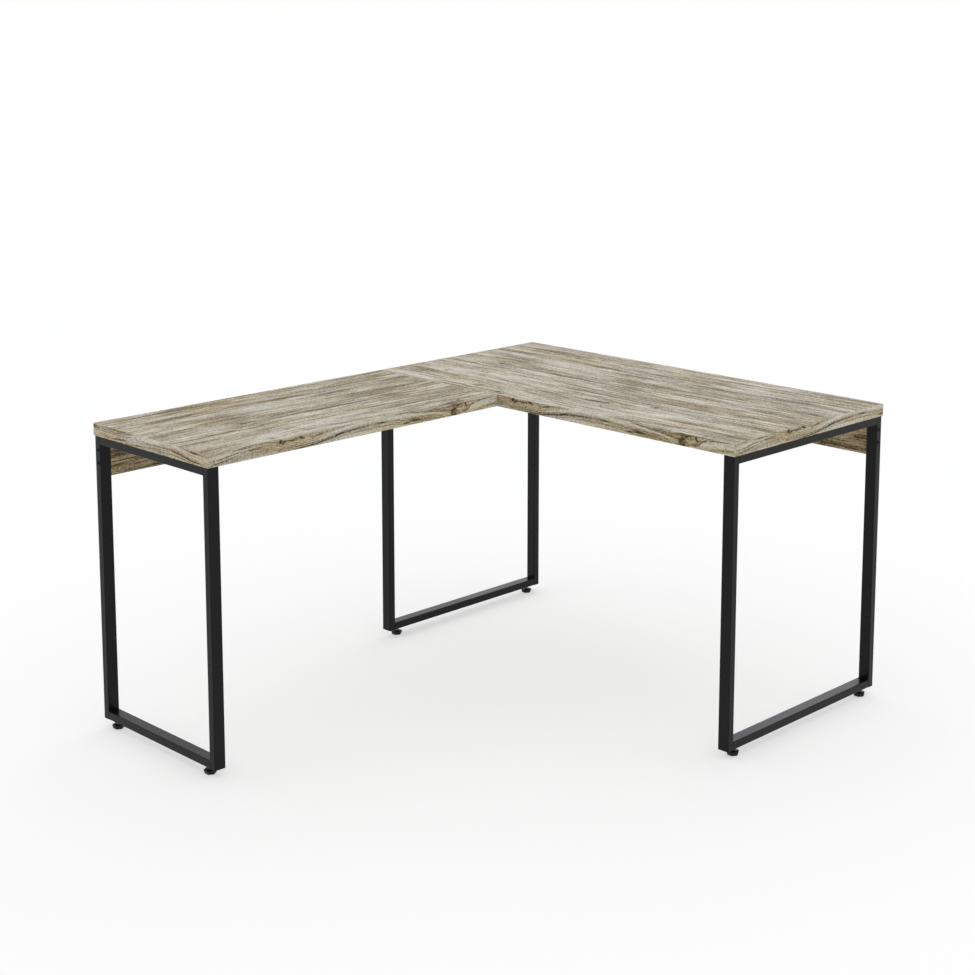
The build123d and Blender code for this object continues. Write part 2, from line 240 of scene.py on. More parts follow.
# The printed sheets' own marks, in millimetres: along, across, half length, half width, darkness
TOP_STREAKS = (
    (110, 77, 130, 5, 0.32),
    (180, 140, 90, 3, 0.22),
    (60, 231, 150, 4, 0.28),
    (300, 222, 80, 4, 0.20),
    (50, 274, 90, 5, 0.26),
    (190, 258, 100, 3, 0.18),
    (120, 386, 200, 5, 0.34),
    (430, 372, 150, 5, 0.20),
    (100, 502, 130, 6, 0.24),
    (60, 560, 110, 5, 0.24),
    (260, 536, 120, 4, 0.20),
    (520, 120, 130, 6, 0.20),
    (500, 300, 120, 5, 0.18),
    (730, 57, 110, 4, 0.34),
    (1010, 52, 160, 5, 0.28),
    (735, 128, 60, 7, 0.28),
    (1000, 112, 130, 6, 0.30),
    (1130, 152, 90, 5, 0.30),
    (1010, 148, 60, 7, 0.32),
    (830, 232, 90, 5, 0.28),
    (1040, 215, 90, 8, 0.32),
    (1165, 302, 60, 6, 0.30),
    (930, 385, 80, 4, 0.20),
    (560, 486, 120, 4, 0.22),
    (700, 548, 110, 4, 0.20),
    (1050, 560, 140, 4, 0.18),
    (150, 166, 240, 14, -0.20),
    (60, 330, 110, 12, -0.14),
    (110, 436, 130, 12, -0.20),
    (300, 470, 130, 14, -0.15),
    (560, 210, 160, 15, -0.15),
    (520, 440, 150, 15, -0.15),
    (900, 92, 150, 12, -0.14),
    (1080, 480, 140, 14, -0.20),
    (900, 536, 190, 16, -0.18),
    (1060, 190, 150, 70, 0.10),
    (620, 520, 220, 36, -0.10),
    (20, 250, 110, 140, -0.08),
    (640, 250, 160, 140, 0.07),
)
EDGE_STREAKS = (
    (540, 25, 60, 3.0, -0.20),
    (772, 14.5, 8, 3.0, -0.22),
    (834, 14, 34, 7.0, -0.16),
    (751, 17, 13, 8.0, 0.18),
    (788, 25, 7, 5.0, 0.16),
    (330, 21, 60, 3.0, -0.14),
    (150, 17, 50, 2.4, -0.12),
    (20, 22, 30, 4.0, -0.16),
    (950, 20, 70, 1.8, 0.24),
    (1080, 14, 70, 2.0, 0.26),
)
END_STREAKS = (
    (2100, 21, 44, 4.5, 0.26),
    (2120, 27.6, 60, 1.4, 0.32),
    (2080, 18.6, 40, 1.3, 0.20),
    (2240, 24, 60, 4.5, -0.16),
    (2190, 13, 40, 3.0, -0.10),
    (2330, 3, 40, 3.0, -0.12),
)
APRON_STREAKS = (
    (24, 54, 20, 9, 0.34),
    (26, 26, 18, 5, 0.30),
    (40, 36, 60, 1.8, 0.40),
    (110, 20, 60, 2.5, 0.26),
    (14, 12, 44, 5, -0.24),
    (80, 62, 50, 6, -0.16),
    (240, 72, 140, 4, 0.30),
    (420, 52, 180, 5, 0.34),
    (620, 22, 160, 4, 0.30),
    (820, 80, 150, 4, 0.30),
    (880, 45, 100, 5, 0.32),
    (1112, 43, 26, 8, 0.42),
    (1072, 6, 80, 2.2, 0.30),
    (1090, 22, 60, 7, -0.56),
    (1048, 42, 44, 12, -0.40),
    (1128, 64, 30, 9, -0.20),
    (300, 30, 150, 7, -0.16),
    (700, 62, 170, 7, -0.16),
)
# Crisp dark strokes, checks and knot hearts: the same, and then the stroke's slope
TOP_STROKES = (
    (674, 481, 15, 4.0, 0.6, -0.5),
    (712, 468, 11, 3.2, 0.55, -0.5),
    (721, 512, 7, 3.0, 0.5, 0.9),
    (128, 472, 6, 3.0, 0.7, 0.9),
    (170, 300, 8, 5.0, 0.36, 1.2),
    (240, 442, 5, 14.0, 0.24),
    (212, 416, 6, 5.0, 0.34),
    (232, 418, 5, 4.0, 0.3, 0.3),
    (330, 546, 3, 12.0, 0.34),
    (426, 574, 5, 10.0, 0.34, -0.6),
    (444, 582, 4, 9.0, 0.3, 0.8),
    (834, 436, 6, 3.5, 0.5, 0.6),
    (1108, 588, 3, 9.0, 0.3),
)
EDGE_STROKES = (
    (60, 17.6, 38, 1.3, 0.58, 0.14),
    (30, 6.6, 34, 1.1, 0.53, 0.15),
    (128, 22, 27, 1.1, 0.53, 0.06),
    (148, 13.6, 22, 1.0, 0.3, 0.03),
    (98, 28, 26, 2.0, 0.38, 0.02),
    (203, 26.4, 2.6, 4.0, 1.1),
    (213, 22, 5.5, 2.1, 0.62, 0.87),
    (236, 24, 9, 1.4, 0.62, -0.14),
    (266, 24.8, 7.5, 1.8, 0.75, -0.24),
    (250, 26.6, 10, 1.1, 0.35, 0.1),
    (313, 23.6, 17, 1.7, 0.47, 0.19),
    (280, 2.4, 26, 1.5, 0.47, 0.06),
    (328, 7, 28, 1.8, 0.43, 0.14),
    (372, 13.6, 17, 2.1, 0.6, 0.26),
    (410, 17.7, 30, 2.0, 0.55, 0.07),
    (452, 20, 26, 2.1, 0.38, 0.06),
    (508, 20.4, 17, 1.9, 0.55),
    (520, 11.6, 60, 1.4, 0.33, 0.01),
    (589, 7.2, 11, 1.7, 0.53, 0.02),
    (618, 9.8, 15, 2.1, 0.69, -0.05),
    (620, 15.6, 60, 1.1, 0.28, -0.01),
    (696, 21, 26, 1.0, 0.3, -0.02),
    (712, 16, 20, 1.0, 0.33, -0.12),
    (726, 11, 12, 1.0, 0.33, -0.32),
    (690, 25.4, 26, 1.0, 0.25),
    (741, 10.5, 3.2, 5.0, 0.62),
    (750, 17.4, 5.4, 2.9, 0.62, 0.6),
    (762, 24, 4.6, 2.2, 0.52, 0.7),
    (770, 27.6, 8, 1.9, 0.42, 0.2),
    (788, 24, 2.3, 3.3, 1.0),
    (791, 18.8, 2.6, 3.2, 0.34, -0.8),
    (785, 9, 12, 1.5, 0.28, 0.15),
    (775, 5.4, 14, 1.5, 0.24, 0.1),
    (800, 14, 3.4, 2.6, 0.3, 1.5),
    (812, 22, 8, 1.5, 0.53, 0.45),
    (832, 25.8, 14, 1.3, 0.53, 0.12),
    (862, 27.4, 22, 1.1, 0.38, 0.04),
    (744, 3.2, 12, 2.1, 0.5),
)
END_STROKES = (
    (2110, 7.4, 27, 2.0, 0.53, 0.07),
    (2054, 6.6, 12, 2.0, 0.38),
    (2008, 24, 11, 3.4, 0.43, -0.1),
    (2215, 15, 42, 1.1, 0.38, 0.07),
    (2290, 18.4, 38, 1.1, 0.38),
    (2343, 14.4, 21, 1.4, 0.62, -0.14),
    (2378, 8.8, 20, 1.4, 0.65, -0.15),
    (2406, 6, 22, 1.3, 0.53, -0.03),
    (2190, 5, 50, 1.1, 0.35, 0.06),
    (2290, 8, 48, 1.1, 0.38),
    (2360, 5.2, 32, 1.3, 0.45, -0.08),
    (2250, 11.6, 50, 0.8, 0.3, 0.03),
    (2390, 20, 40, 1.1, 0.3, -0.1),
    (2404, 26.4, 17, 2.1, 0.62, 0.04),
)
# Golden patches: along, across, half length, half width, strength
EDGE_GOLD = (
    (785, 8, 22, 4.5, 0.9),
    (846, 14, 40, 8.0, 0.6),
    (440, 9, 40, 5.0, 0.5),
    (222, 9, 44, 2.5, 0.6),
    (525, 19, 14, 3.0, 0.5),
    (110, 12, 46, 4.0, 0.3),
)
END_GOLD = ((2096, 21, 46, 6.0, 0.8), (2058, 7, 18, 4.0, 0.7), (2300, 8, 70, 3.0, 0.5))
TOP_GOLD = (
    (120, 60, 200, 50, 0.5),
    (130, 560, 150, 40, 0.3),
    (800, 300, 140, 70, 0.6),
    (1120, 60, 120, 60, 0.6),
    (1150, 250, 90, 40, 0.4),
)
# Small knots that the grain flows round: along, across, half length, half width, push
TOP_KNOTS = (
    (163, 300, 9, 9, 0.6),
    (126, 471, 4.5, 6, 0.4),
    (328, 549, 5, 7, 0.55),
    (428, 580, 9, 8, 0.55),
    (668, 482, 12, 8, 0.6),
    (834, 434, 5, 4.5, 0.4),
)
EDGE_KNOTS = (
    (203, 26, 4, 4, 0.5),
    (752, 16, 9, 7, 0.8),
    (788, 23, 4.5, 4.5, 0.7),
    (1004, 9, 3.5, 3, 0.7),
)
# Where the grain rises or falls: along, half length, rise
TOP_BENDS = ((90, 150, -14), (420, 120, 8), (900, 200, -12))
EDGE_BENDS = ((62, 66, 19), (190, 60, -7), (372, 84, 17), (590, 110, -14), (705, 50, -10), (830, 60, 12))
END_BENDS = ((2190, 90, 15), (2360, 60, -14))
APRON_BENDS = ((300, 200, 16), (800, 220, -20))


class Sheet:
    """One printed wood sheet's marks and its grain's sizes, in millimetres."""

    def __init__(self, marks, bends, ring, ring_depth, drift, contrast, band, band_depth):
        self.streaks, self.strokes, self.gold, self.knots = marks
        self.bends, self.ring, self.ring_depth = bends, ring, ring_depth
        self.drift, self.drift_length, self.drift_width = drift
        self.contrast, self.band, self.band_depth = contrast, band, band_depth


TOP_MARKS = (TOP_STREAKS, TOP_STROKES, TOP_GOLD, TOP_KNOTS)
EDGE_MARKS = (EDGE_STREAKS, EDGE_STROKES, EDGE_GOLD, EDGE_KNOTS)
END_MARKS = (END_STREAKS, END_STROKES, END_GOLD, ())
APRON_MARKS = (APRON_STREAKS, (), (), EDGE_KNOTS)
# ring and band are widths and the depths how strongly they show; drift is how far the grain wanders,
# over what length and width
TOP_SHEET = Sheet(
    TOP_MARKS,
    TOP_BENDS,
    ring=14.0,
    ring_depth=0.28,
    drift=(15.0, 420.0, 150.0),
    contrast=1.16,
    band=70.0,
    band_depth=0.45,
)
EDGE_SHEET = Sheet(
    EDGE_MARKS,
    EDGE_BENDS,
    ring=4.6,
    ring_depth=0.38,
    drift=(8.0, 230.0, 60.0),
    contrast=0.72,
    band=12.0,
    band_depth=1.0,
)
END_SHEET = Sheet(
    END_MARKS,
    END_BENDS,
    ring=4.6,
    ring_depth=0.34,
    drift=(6.0, 230.0, 60.0),
    contrast=0.68,
    band=12.0,
    band_depth=1.0,
)
APRON_SHEET = Sheet(
    APRON_MARKS,
    APRON_BENDS,
    ring=11.0,
    ring_depth=0.40,
    drift=(24.0, 380.0, 110.0),
    contrast=1.2,
    band=28.0,
    band_depth=1.0,
)
# Where a surface's corner lies on its sheet: along, and across for the return top
RETURN_TOP_START = (-73, 43)
FRONT_EDGE_START = 148
RETURN_END_START = 2000
# What is added to a sheet's tone on each surface. On the edge bands it is painted light: the same laminate
# is made lighter on the front, end and side bands, each by how the light falls on it
TOP_LIFT, FRONT_PAINTED_LIGHT, END_PAINTED_LIGHT, SIDE_PAINTED_LIGHT, APRON_LIFT = -0.05, 0.04, 0.06, 0.10, 0.04


# A sheet's tone before its grain, marks and lift
PLAIN_TONE = 0.57


def grain_line(along, across, sheet):
    """The distance across the grain, which wanders, bends and flows round the knots, and how far
    the bends have raised it."""
    length, width = sheet.drift_length, sheet.drift_width
    drift = noise(along / length, across / width, seed=3.0, detail=1.0, roughness=0.5)
    sway = noise(along / (0.3 * length), across / (0.35 * width), seed=5.0, roughness=0.5)
    rise = sum(between(along, at - half, at + half, 0.0, by) for at, half, by in sheet.bends)
    line = across - rise + drift * sheet.drift + sway * (0.3 * sheet.drift)
    point = flat(along, across)
    pushes = sum((across - knot[1]) * oval(point, *knot, reach=4.5) for knot in sheet.knots)
    return line - pushes, rise


def growth_rings(along, line, sheet):
    """How much the rings darken: each darkens slowly, ends sharply, and shows only in places."""
    shift = noise(along / 520, line / 60, seed=12.0, detail=1.0, roughness=0.5) * (5.0 * sheet.ring)
    rings = (line + shift) / sheet.ring
    ring = rings - rings.maths("FLOOR", rings)
    late = between(ring, 0.30, 0.94) ** 2.0 * between(ring, 0.94, 1.0, 1.0, 0.0)
    presence = between(noise(along / 260, line / 22, seed=31.0, roughness=0.5), -0.10, 0.14)
    return late * presence * sheet.ring_depth


def decor(along, across, sheet):
    """One printed wood sheet. along and across are millimetres on it. It returns the sheet's tone,
    0 dark to 1 light, the share of warm tint, the strokes' mask and the pores' height."""
    line, rise = grain_line(along, across, sheet)
    rings = growth_rings(along, line, sheet)
    # Bands and lines along the grain, from the broadest to the finest
    broad = noise(along / 480, line / sheet.band, seed=17.0, roughness=0.5)
    middle = noise(along / 240, line / (0.7 * sheet.ring), seed=23.0)
    cloud = noise(along / 120, across / (2.2 * sheet.ring), seed=89.0, detail=3.0, roughness=0.65)
    fine = noise(along / 60, line / 2.2, seed=41.0)
    hair = noise(along / 22, line / 0.6, seed=53.0, detail=1.0)
    dash = noise(along / 30, line / (0.4 * sheet.ring + 1.5), seed=83.0)
    speck = noise(along / 7, across / 4.5, seed=71.0, roughness=0.75)
    grain = broad * sheet.band_depth + middle + cloud * 0.5 + fine * 0.5 + dash * 0.35
    tone = PLAIN_TONE + grain * sheet.contrast + hair * 0.4 + speck
    # The placed marks
    feathered = between(middle, -0.2, 0.2, 1.15, 0.45)
    flowing = flat(along, line + rise)
    marks = sum(oval(flowing, *mark) for mark in sheet.streaks) * feathered
    point = flat(along, across)
    halos = sum(oval(point, *knot[:4], 0.14, reach=3.0) for knot in sheet.knots)
    ragged = noise(along * 0.35, across * 0.6, seed=9.0)
    strokes = sum(oval(point, *mark) for mark in sheet.strokes) * (ragged * 1.2 + 1.0)
    tone = tone - rings - marks - halos - strokes
    # The tan tint, stronger in the darker grain
    warm = between(noise(along / 420, line / 55, seed=67.0, roughness=0.55), -0.10, 0.14, 0.0, 0.7)
    mottle = noise(along / 50, across / (1.2 * sheet.ring), seed=37.0)
    warm = warm + mottle * 0.7 + sum(oval(point, *mark) for mark in sheet.gold) * 0.5
    warm = warm * between(tone, 0.25, 0.95, 1.35, 0.6)
    return tone, warm, strokes, hair


def wood(place, along, across, sheet, colours, lift):
    """The satin laminate's surface: colours are (dark, middle, light, warm, knot), and lift is
    added to the sheet's tone; on the edge bands the lift is painted light."""
    tone, warm, strokes, pores = decor(along, across, sheet)
    dark, middle, light, tint, knot = colours
    steps = ((0.0, knot), (0.22, dark), (0.52, middle), (0.92, light))
    colour = tone.node("ShaderNodeValToRGB", {0: tone + lift}, stops=steps)
    tinted = blend(warm, colour, tint, "MULTIPLY")
    colour = blend(between(strokes, 0.35, 0.95) * 0.85, tinted, knot)
    roughness = between(tone, 0.1, 0.9, 0.55, 0.47)
    relief = pores + tone * 0.6
    return surface(place, colour, roughness, relief, depth=0.00012, Specular_IOR_Level=0.2)


class DeskFinish(bpy.types.PropertyGroup):
    """Colours of the desk's finishes."""

    decor_dark: FloatVectorProperty(
        name="Decor dark",
        description="Darkest grain of the tops",
        subtype="COLOR",
        size=4,
        min=0,
        max=1,
        default=linear(116, 103, 71),
    )
    decor_middle: FloatVectorProperty(
        name="Decor middle",
        description="Middle tone of the tops",
        subtype="COLOR",
        size=4,
        min=0,
        max=1,
        default=linear(168, 159, 140),
    )
    decor_light: FloatVectorProperty(
        name="Decor light",
        description="Lightest grain of the tops",
        subtype="COLOR",
        size=4,
        min=0,
        max=1,
        default=linear(216, 211, 199),
    )
    decor_warm: FloatVectorProperty(
        name="Decor warm tint",
        description="Tan tint that drifts through the decor",
        subtype="COLOR",
        size=4,
        min=0,
        max=1,
        default=linear(251, 240, 213),
    )
    knot: FloatVectorProperty(
        name="Knots",
        description="Dark hearts of the knots",
        subtype="COLOR",
        size=4,
        min=0,
        max=1,
        default=linear(63, 56, 37),
    )
    apron_dark: FloatVectorProperty(
        name="Apron dark",
        description="Darkest grain of the aprons",
        subtype="COLOR",
        size=4,
        min=0,
        max=1,
        default=linear(86, 69, 43),
    )
    apron_middle: FloatVectorProperty(
        name="Apron middle",
        description="Middle tone of the aprons",
        subtype="COLOR",
        size=4,
        min=0,
        max=1,
        default=linear(149, 130, 97),
    )
    apron_light: FloatVectorProperty(
        name="Apron light",
        description="Lightest grain of the aprons",
        subtype="COLOR",
        size=4,
        min=0,
        max=1,
        default=linear(194, 181, 153),
    )
    paint: FloatVectorProperty(
        name="Powder coat",
        description="Colour of the steel frames",
        subtype="COLOR",
        size=4,
        min=0,
        max=1,
        default=linear(10, 10, 11),
    )
    plastic: FloatVectorProperty(
        name="Plastic",
        description="Colour of the moulded feet and plugs",
        subtype="COLOR",
        size=4,
        min=0,
        max=1,
        default=linear(14, 14, 14),
    )
    zinc: FloatVectorProperty(
        name="Zinc",
        description="Colour of the plated screws and plates",
        subtype="COLOR",
        size=4,
        min=0,
        max=1,
        default=linear(186, 188, 190),
    )
    zinc_dull: FloatVectorProperty(
        name="Dull zinc",
        description="Colour of the plating's duller patches",
        subtype="COLOR",
        size=4,
        min=0,
        max=1,
        default=linear(160, 163, 168),
    )


class FootSizes(bpy.types.PropertyGroup):
    """Sizes of the levelling feet's thread and head."""

    pitch: FloatProperty(
        name="Pitch",
        description="Height of one turn of the stud's thread",
        default=0.0015,
        unit="LENGTH",
        precision=4,
    )
    thread_depth: FloatProperty(
        name="Thread depth",
        description="From the crest of the thread to its root",
        default=0.0009,
        unit="LENGTH",
        precision=4,
    )
    turn_steps: IntProperty(
        name="Steps per turn",
        description="Faces round one turn of the thread",
        default=28,
        min=8,
    )
    head_round: FloatProperty(
        name="Head rounding",
        description="Radius of the head's corners",
        default=0.0012,
        unit="LENGTH",
        precision=4,
    )
    head_taper: FloatProperty(
        name="Head taper",
        description="The head's width at its bottom, as a share of its width at its top",
        default=0.84,
    )
    boss_radius: FloatProperty(
        name="Boss radius",
        description="Radius of the round boss on the head",
        default=0.0065,
        unit="LENGTH",
        precision=4,
    )
    boss_height: FloatProperty(
        name="Boss height",
        description="How far the boss stands above the hexagon",
        default=0.002,
        unit="LENGTH",
        precision=4,
    )
    boss_round: FloatProperty(
        name="Boss rounding",
        description="Radius of the boss's upper edge",
        default=0.0005,
        unit="LENGTH",
        precision=4,
    )
    rim_width: FloatProperty(
        name="Rim width",
        description="Width of the rim round the hollow under the head",
        default=0.0006,
        unit="LENGTH",
        precision=4,
    )
    rim_depth: FloatProperty(
        name="Rim depth",
        description="Depth of the hollow under the head",
        default=0.0009,
        unit="LENGTH",
        precision=4,
    )
    sink: FloatProperty(
        name="Sink",
        description="How far the boss starts below the hexagon's top",
        default=0.001,
        unit="LENGTH",
        precision=4,
    )
    ridge_sink: FloatProperty(
        name="Ridge sink",
        description="How far the thread's ridge starts inside its core",
        default=0.0002,
        unit="LENGTH",
        precision=4,
    )


class Studio(bpy.types.PropertyGroup):
    """Camera, lamps and surroundings."""

    camera_place: FloatVectorProperty(
        name="Camera",
        description="Where the camera stands",
        subtype="TRANSLATION",
        default=(2.99957, -3.02481, 1.70419),
    )
    camera_turn: FloatProperty(
        name="Turn",
        description="The camera's turn about the vertical, from looking along +Y",
        subtype="ANGLE",
        default=math.radians(45.09),
    )
    camera_tilt: FloatProperty(
        name="Tilt",
        description="How far the camera looks down",
        subtype="ANGLE",
        default=math.radians(8.8),
    )
    camera_shift: FloatProperty(
        name="Shift",
        description="The lens's shift up, as a share of the sensor's width",
        default=-0.20,
    )
    lens: FloatProperty(
        name="Lens",
        description="Focal length on a 36 mm wide sensor",
        default=66.55,
        unit="CAMERA",
    )
    sky: FloatProperty(
        name="Soft light",
        description="Strength of the light from all round",
        default=0.86,
    )
    key: FloatProperty(
        name="Key light",
        description="Strength of the broad lamp above and behind",
        default=0.15,
    )
    low: FloatProperty(
        name="Low light",
        description="Strength of the broad lamp low down behind",
        default=0.4,
    )
    spread: FloatProperty(
        name="Spread",
        description="How broad each lamp looks from the desk",
        subtype="ANGLE",
        default=math.radians(50),
    )
    floor_size: FloatProperty(
        name="Floor",
        description="Length of the floor's sides",
        default=80.0,
        unit="LENGTH",
    )
    floor_tone: FloatProperty(
        name="Floor tone",
        description="The floor's grey as it throws light back at the desk",
        default=0.84,
    )
    floor_seen_tone: FloatProperty(
        name="Floor tone seen",
        description="The floor's grey as it is seen, which sets how dark the shadow looks",
        default=0.55,
    )
    floor_glow: FloatProperty(
        name="Floor glow",
        description="What is added to the floor as it is seen, so that it is white where it is lit",
        default=0.48,
    )


def paint_nodes(names, material):
    """Puts a material on carried-over nodes."""
    for name in names:
        slots = NODES[name].data.materials
        slots.clear()
        slots.append(material)


def add_piece(name, mesh, body, material, replaced):
    """Makes an object from a finished bmesh, whose place is in its mesh. It rides on a body and
    stands for a node of the frame."""
    bmesh.ops.recalc_face_normals(mesh, faces=mesh.faces)
    data = bpy.data.meshes.new(name)
    mesh.to_mesh(data)
    mesh.free()
    for polygon in data.polygons:
        polygon.use_smooth = True
    data.set_sharp_from_angle(angle=SHARP_EDGE)
    data.materials.append(material)
    piece = bpy.data.objects.new(name, data)
    bpy.context.scene.collection.objects.link(piece)
    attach(piece, body)
    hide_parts(replaced)


class FinishTops(bpy.types.Operator):
    """Put the printed decor on the two tops and their edge bands, with painted light on the bands"""

    bl_idname = "corner_desk.finish_tops"
    bl_label = "Tops"

    def execute(self, context):
        finish = context.scene.desk_finish
        colours = (
            finish.decor_dark,
            finish.decor_middle,
            finish.decor_light,
            finish.decor_warm,
            finish.knot,
        )
        left, back = MM * MAIN_LOW.x, MM * MAIN_HIGH.y
        near, low = MM * RETURN_LOW.y, MM * MAIN_LOW.z
        inner, seam = MM * RETURN_HIGH.x, MM * MAIN_LOW.y
        start_along, start_across = RETURN_TOP_START

        def main_top(place):
            x, y, _ = axes(place)
            return wood(place, x - left, back - y, TOP_SHEET, colours, TOP_LIFT)

        def return_top(place):
            x, y, _ = axes(place)
            along, across = y - (near - start_along), x - (left - start_across)
            return wood(place, along, across, TOP_SHEET, colours, TOP_LIFT)

        # The bands' lifts are painted light: each side of the edge is made lighter by how the light falls
        # on it
        def along_x(start, sheet, lift):
            def band(place):
                x, _, z = axes(place)
                return wood(place, x - start, z - low, sheet, colours, lift)

            return band

        def along_y(start):
            def band(place):
                _, y, z = axes(place)
                return wood(place, y - start, z - low, EDGE_SHEET, colours, SIDE_PAINTED_LIGHT)

            return band

        main_edge = along_x(inner - FRONT_EDGE_START, EDGE_SHEET, FRONT_PAINTED_LIGHT)
        return_end = along_x(left - RETURN_END_START, END_SHEET, END_PAINTED_LIGHT)
        paint_nodes(["main_top_board"], new_material("main_top_decor", main_top))
        paint_nodes(["return_top_board"], new_material("return_top_decor", return_top))
        paint_nodes(LONG_X_BANDS, new_material("main_edge_decor_painted_light", main_edge))
        paint_nodes(RETURN_END_BANDS, new_material("return_end_decor_painted_light", return_end))
        paint_nodes(LONG_Y_BANDS, new_material("return_edge_decor_painted_light", along_y(near)))
        paint_nodes(MAIN_END_BANDS, new_material("main_end_decor_painted_light", along_y(seam)))
        return {"FINISHED"}


class FinishAprons(bpy.types.Operator):
    """Put the browner decor on the two aprons and their lower bands"""

    bl_idname = "corner_desk.finish_aprons"
    bl_label = "Aprons"

    def execute(self, context):
        finish = context.scene.desk_finish
        colours = (
            finish.apron_dark,
            finish.apron_middle,
            finish.apron_light,
            finish.decor_warm,
            finish.knot,
        )
        main_low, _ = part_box("main_apron_edge_band")
        return_low, return_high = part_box("return_apron_edge_band")

        def along_x(place):
            x, y, z = axes(place)
            rise = z - MM * main_low.z + MM * main_low.y - y
            return wood(place, x - MM * main_low.x, rise, APRON_SHEET, colours, APRON_LIFT)

        def along_y(place):
            x, y, z = axes(place)
            rise = z - MM * return_low.z + x - MM * return_high.x
            return wood(place, y - MM * return_low.y, rise, APRON_SHEET, colours, APRON_LIFT)

        paint_nodes(["main_apron", "main_apron_edge_band"], new_material("main_apron_decor", along_x))
        paint_nodes(["return_apron", "return_apron_edge_band"], new_material("return_apron_decor", along_y))
        return {"FINISHED"}


def powder_coat(colour):
    """Satin black powder coat with a fine orange-peel skin."""

    def finish(place):
        skin = space_noise(place, 0.0011, detail=1.0) + space_noise(place, 0.004, detail=1.0) * 0.8
        roughness = between(space_noise(place, 0.09), -0.3, 0.3, 0.24, 0.32)
        return surface(place, colour, roughness, skin, depth=0.00006, IOR=1.27)

    return finish


def moulded(colour):
    """Black moulded plastic with a faint texture."""

    def finish(place):
        skin = space_noise(place, 0.0006, detail=1.0)
        roughness = between(space_noise(place, 0.01), -0.3, 0.3, 0.38, 0.50)
        return surface(place, colour, roughness, skin, depth=0.00003, IOR=1.35)

    return finish


def plated(bright, dull, smoothest, roughest):
    """Zinc-plated steel with a mottled sheen."""

    def finish(place):
        cloud = space_noise(place, 0.004, detail=3.0, roughness=0.6)
        roughness = between(cloud, -0.3, 0.3, smoothest, roughest)
        tint = blend(between(cloud, -0.25, 0.25), bright, dull)
        return surface(place, tint, roughness, cloud, depth=0.00002, Metallic=1.0)

    return finish


class FinishFrames(bpy.types.Operator):
    """Powder coat the three leg frames, and finish the plugs in their posts"""

    bl_idname = "corner_desk.finish_frames"
    bl_label = "Leg frames"

    def execute(self, context):
        finish = context.scene.desk_finish
        paint_nodes(FRAME_NODES, new_material("frame_powder_coat", powder_coat(finish.paint)))
        paint_nodes(["post_end_plugs"], new_material("plug_plastic", moulded(finish.plastic)))
        return {"FINISHED"}


class FinishFittings(bpy.types.Operator):
    """Finish the bolts, nuts, screws, inserts, plates and brackets"""

    bl_idname = "corner_desk.finish_fittings"
    bl_label = "Fittings"

    def execute(self, context):
        finish = context.scene.desk_finish
        screws = ["bracket_screws", "joining_plate_screws", "top_fixing_screws"]
        small_parts = screws + ["apron_barrel_nuts", "levelling_inserts"]
        bright = plated(finish.zinc, finish.zinc_dull, smoothest=0.25, roughest=0.4)
        paint_nodes(small_parts, new_material("zinc_small_parts", bright))
        sheet_parts = ["apron_brackets", "joining_plates"]
        satin = plated(finish.zinc, finish.zinc_dull, smoothest=0.32, roughest=0.5)
        paint_nodes(sheet_parts, new_material("zinc_sheet", satin))
        paint_nodes(["apron_bolts"], new_material("black_bolts", powder_coat(finish.paint)))
        return {"FINISHED"}


def threaded_stud(centre, low, high, radius, sizes):
    """A rod with a right-hand thread, as a core and one helical ridge sunk a little into it."""
    root = radius - sizes.thread_depth
    mesh = bmesh.new()
    bmesh.ops.create_cone(
        mesh,
        cap_ends=True,
        segments=sizes.turn_steps,
        radius1=root,
        radius2=root,
        depth=high - low,
        matrix=Matrix.Translation((0, 0, (low + high) / 2)),
    )
    rims = [edge for edge in mesh.edges if len({vert.co.z for vert in edge.verts}) == 1]
    bmesh.ops.bevel(
        mesh,
        geom=rims,
        offset=0.4 * root,
        offset_type="OFFSET",
        affect="EDGES",
        segments=2,
        profile=0.5,
        material=-1,
    )
    # The ridge's middle stays at least a turn inside each end
    start = low + sizes.pitch
    turns = math.floor((high - low) / sizes.pitch) - 2
    flank, crest = 0.42 * sizes.pitch, 0.07 * sizes.pitch
    corners = (
        (root - sizes.ridge_sink, -flank),
        (radius, -crest),
        (radius, crest),
        (root - sizes.ridge_sink, flank),
    )
    verts = [mesh.verts.new((across, 0, start + up)) for across, up in corners]
    section = mesh.faces.new(verts)
    steps = turns * sizes.turn_steps
    bmesh.ops.spin(
        mesh,
        geom=[section],
        cent=(0, 0, 0),
        axis=(0, 0, 1),
        dvec=(0, 0, sizes.pitch / sizes.turn_steps),
        angle=2 * math.pi * turns,
        steps=steps,
        use_merge=False,
        use_duplicate=False,
    )
    bmesh.ops.translate(mesh, vec=centre, verts=mesh.verts)
    return mesh


